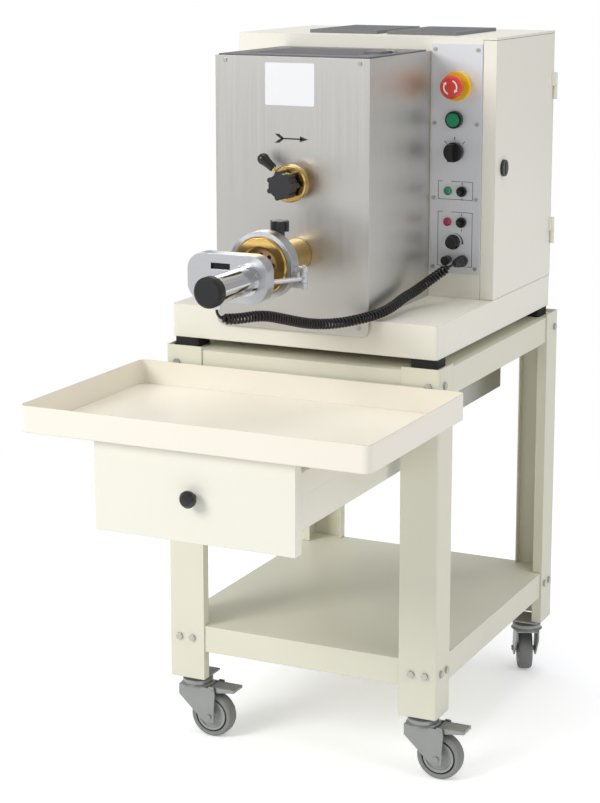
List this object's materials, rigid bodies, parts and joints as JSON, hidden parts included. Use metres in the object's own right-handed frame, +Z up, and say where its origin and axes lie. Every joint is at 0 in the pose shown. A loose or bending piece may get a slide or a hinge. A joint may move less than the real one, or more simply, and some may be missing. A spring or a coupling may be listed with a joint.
{
  "type": "electric pasta maker",
  "caption": "Electric pasta extruder on a wheeled sheet-metal stand, with mixing vat, brass die head, swing-out rotary cutter, control panel, tray and drawer.",
  "frame": {"origin": "on the floor, under the middle of the whole machine with its drawer pulled out", "axes": "+Z up, +Y to the rear, away from the operator, +X to the operator's right, where the control panel is"},
  "size_m": [0.6, 1.031, 1.241],
  "materials": {
    "stand_paint": "satin",
    "housing_paint": "satin",
    "panel_paint": "satin",
    "vent_paint": "satin",
    "zinc": "bright",
    "stainless": "brushed",
    "aluminium": "satin",
    "chrome": "polished",
    "brass": "satin",
    "bronze": "satin",
    "gear_iron": "painted",
    "black_plastic": "matte",
    "black_rubber": "matte",
    "wheel_rubber": "matte",
    "red_plastic": "gloss",
    "yellow_plastic": "gloss",
    "green_plastic": "gloss",
    "lamp_lens": "gloss"
  },
  "bodies": {
    "machine": {"front_legs": "stand_paint", "rear_legs": "stand_paint", "top_frame": "stand_paint", "lower_shelf": "stand_paint", "fasteners": "zinc", "outer_rails": "zinc", "machine_feet": "black_rubber", "base_pan": "housing_paint", "cabinet_shell": "housing_paint", "roof_vents": "vent_paint", "control_panel": "panel_paint", "front_cover": "stainless", "vat": "stainless", "barrel": "brass", "die_head": "aluminium", "die": "bronze", "hub_collar": "brass", "gearbox": "gear_iron", "drive_motor": "gear_iron", "pilot_lamps": "lamp_lens", "estop_collar": "yellow_plastic", "panel_fittings": "black_plastic", "cable_plug": "black_plastic", "coiled_cable": "black_rubber", "caster_plates": "zinc"},
    "vat_lid": {"vat_lid": "vent_paint"},
    "drawer": {"drawer_box": "stainless", "drawer_front": "housing_paint", "drawer_knob": "black_plastic"},
    "middle_rails": {"middle_rails": "zinc"},
    "tray": {"tray": "housing_paint"},
    "caster_fork_front_left": {"caster_fork_front_left": "zinc"},
    "caster_fork_front_right": {"caster_fork_front_right": "zinc"},
    "caster_fork_rear_left": {"caster_fork_rear_left": "zinc"},
    "caster_fork_rear_right": {"caster_fork_rear_right": "zinc"},
    "caster_wheel_front_left": {"caster_wheel_front_left": "wheel_rubber"},
    "caster_wheel_front_right": {"caster_wheel_front_right": "wheel_rubber"},
    "caster_wheel_rear_left": {"caster_wheel_rear_left": "wheel_rubber"},
    "caster_wheel_rear_right": {"caster_wheel_rear_right": "wheel_rubber"},
    "brake_pedal_front_left": {"brake_pedal_front_left": "zinc"},
    "brake_pedal_front_right": {"brake_pedal_front_right": "zinc"},
    "estop_stem": {"estop_stem": "black_plastic"},
    "estop_head": {"estop_head": "red_plastic"},
    "start_button": {"start_button": "green_plastic"},
    "selector_knob": {"selector_knob": "black_plastic"},
    "toggle_upper": {"toggle_upper": "black_plastic"},
    "toggle_lower": {"toggle_lower": "black_plastic"},
    "speed_knob": {"speed_knob": "black_plastic"},
    "mixer_shaft": {"mixer_shaft": "stainless"},
    "mixer_knob": {"mixer_knob": "black_plastic"},
    "lock_ring": {"lock_ring": "brass"},
    "auger": {"auger": "stainless"},
    "ring_nut": {"ring_nut": "brass"},
    "clamp_knob": {"clamp_knob": "black_plastic"},
    "knife": {"knife": "stainless"},
    "side_door": {"side_door": "housing_paint"},
    "door_lock": {"door_lock": "black_plastic"},
    "cutter": {"cutter_bracket": "aluminium", "cutter_motor": "chrome", "motor_cap": "black_plastic"}
  },
  "joints": [
    {"name": "drawer_slide", "type": "slide", "parent": "machine", "child": "drawer", "axis": [0, 1, 0], "range_m": [0, 0.374]},
    {"name": "middle_rail_slide", "type": "slide", "parent": "machine", "child": "middle_rails", "axis": [0, 1, 0], "range_m": [0, 0.187]},
    {"name": "tray_lift", "type": "slide", "parent": "machine", "child": "tray", "axis": [0, 0, 1], "range_m": [0, 0.15]},
    {"name": "lid_hinge", "type": "hinge", "parent": "machine", "child": "vat_lid", "pos_m": [-0.0205, 0.1495, 1.2103], "axis": [-1, 0, 0], "range_deg": [0, 95]},
    {"name": "caster_swivel_front_left", "type": "hinge", "parent": "machine", "child": "caster_fork_front_left", "pos_m": [-0.217, -0.0805, 0.1], "axis": [0, 0, 1], "continuous": true},
    {"name": "wheel_spin_front_left", "type": "hinge", "parent": "caster_fork_front_left", "child": "caster_wheel_front_left", "pos_m": [-0.185, -0.0805, 0.04], "axis": [0, 1, 0], "continuous": true},
    {"name": "brake_front_left", "type": "hinge", "parent": "caster_fork_front_left", "child": "brake_pedal_front_left", "pos_m": [-0.18, -0.0805, 0.0897], "axis": [0, 1, 0], "range_deg": [0, 18]},
    {"name": "caster_swivel_front_right", "type": "hinge", "parent": "machine", "child": "caster_fork_front_right", "pos_m": [0.217, -0.0805, 0.1], "axis": [0, 0, 1], "continuous": true},
    {"name": "wheel_spin_front_right", "type": "hinge", "parent": "caster_fork_front_right", "child": "caster_wheel_front_right", "pos_m": [0.249, -0.0805, 0.04], "axis": [0, 1, 0], "continuous": true},
    {"name": "brake_front_right", "type": "hinge", "parent": "caster_fork_front_right", "child": "brake_pedal_front_right", "pos_m": [0.254, -0.0805, 0.0897], "axis": [0, 1, 0], "range_deg": [0, 18]},
    {"name": "caster_swivel_rear_left", "type": "hinge", "parent": "machine", "child": "caster_fork_rear_left", "pos_m": [-0.217, 0.4475, 0.1], "axis": [0, 0, 1], "continuous": true},
    {"name": "wheel_spin_rear_left", "type": "hinge", "parent": "caster_fork_rear_left", "child": "caster_wheel_rear_left", "pos_m": [-0.23052, 0.4765, 0.04], "axis": [0.9063, 0.4226, 0], "continuous": true},
    {"name": "caster_swivel_rear_right", "type": "hinge", "parent": "machine", "child": "caster_fork_rear_right", "pos_m": [0.217, 0.4475, 0.1], "axis": [0, 0, 1], "continuous": true},
    {"name": "wheel_spin_rear_right", "type": "hinge", "parent": "caster_fork_rear_right", "child": "caster_wheel_rear_right", "pos_m": [0.20348, 0.4765, 0.04], "axis": [0.9063, 0.4226, 0], "continuous": true},
    {"name": "mixer_spin", "type": "hinge", "parent": "machine", "child": "mixer_shaft", "pos_m": [-0.01, 0.0235, 1.006], "axis": [0, 1, 0], "continuous": true},
    {"name": "auger_spin", "type": "hinge", "parent": "machine", "child": "auger", "pos_m": [-0.01, 0.0235, 0.885], "axis": [0, 1, 0], "continuous": true},
    {"name": "mixer_knob_turn", "type": "hinge", "parent": "mixer_shaft", "child": "mixer_knob", "pos_m": [-0.01, -0.1465, 1.006], "axis": [0, 1, 0], "continuous": true},
    {"name": "lock_ring_turn", "type": "hinge", "parent": "machine", "child": "lock_ring", "pos_m": [-0.01, -0.1285, 1.006], "axis": [0, 1, 0], "range_deg": [0, 60]},
    {"name": "ring_nut_turn", "type": "hinge", "parent": "machine", "child": "ring_nut", "pos_m": [-0.01, -0.2315, 0.885], "axis": [0, 1, 0], "continuous": true},
    {"name": "clamp_knob_turn", "type": "hinge", "parent": "machine", "child": "clamp_knob", "pos_m": [-0.006, -0.1765, 0.93], "axis": [0, 0, 1], "range_deg": [0, 360]},
    {"name": "cutter_swing", "type": "hinge", "parent": "machine", "child": "cutter", "pos_m": [0.057, -0.2175, 0.868], "axis": [0, 0, 1], "range_deg": [0, 100], "deforming": ["coiled_cable"]},
    {"name": "knife_spin", "type": "hinge", "parent": "cutter", "child": "knife", "pos_m": [-0.002, -0.2665, 0.873], "axis": [0, 1, 0], "continuous": true},
    {"name": "door_hinge", "type": "hinge", "parent": "machine", "child": "side_door", "pos_m": [0.244, 0.4655, 1], "axis": [0, 0, 1], "range_deg": [0, 100]},
    {"name": "door_lock_turn", "type": "hinge", "parent": "side_door", "child": "door_lock", "pos_m": [0.24, 0.2015, 1.01], "axis": [-1, 0, 0], "range_deg": [0, 90]},
    {"name": "estop_press", "type": "slide", "parent": "machine", "child": "estop_stem", "axis": [0, 1, 0], "range_m": [0, 0.006]},
    {"name": "estop_twist", "type": "hinge", "parent": "estop_stem", "child": "estop_head", "pos_m": [0.171, 0.1295, 1.152], "axis": [0, 1, 0], "range_deg": [0, 30]},
    {"name": "start_press", "type": "slide", "parent": "machine", "child": "start_button", "axis": [0, 1, 0], "range_m": [0, 0.003], "stiffness_N_per_m": 300},
    {"name": "selector_turn", "type": "hinge", "parent": "machine", "child": "selector_knob", "pos_m": [0.166, 0.1495, 1.038], "axis": [0, 1, 0], "range_deg": [-45, 45]},
    {"name": "toggle_flip_upper", "type": "hinge", "parent": "machine", "child": "toggle_upper", "pos_m": [0.181, 0.1552, 0.97], "axis": [1, 0, 0], "range_deg": [-15, 15]},
    {"name": "toggle_flip_lower", "type": "hinge", "parent": "machine", "child": "toggle_lower", "pos_m": [0.181, 0.1552, 0.916], "axis": [1, 0, 0], "range_deg": [-15, 15]},
    {"name": "speed_turn", "type": "hinge", "parent": "machine", "child": "speed_knob", "pos_m": [0.166, 0.1545, 0.881], "axis": [0, 1, 0], "range_deg": [-135, 135]}
  ],
  "couplings": [
    {"joint": "middle_rail_slide", "follows": "drawer_slide", "ratio": 0.5},
    {"joint": "auger_spin", "follows": "mixer_spin", "ratio": -1}
  ]
}
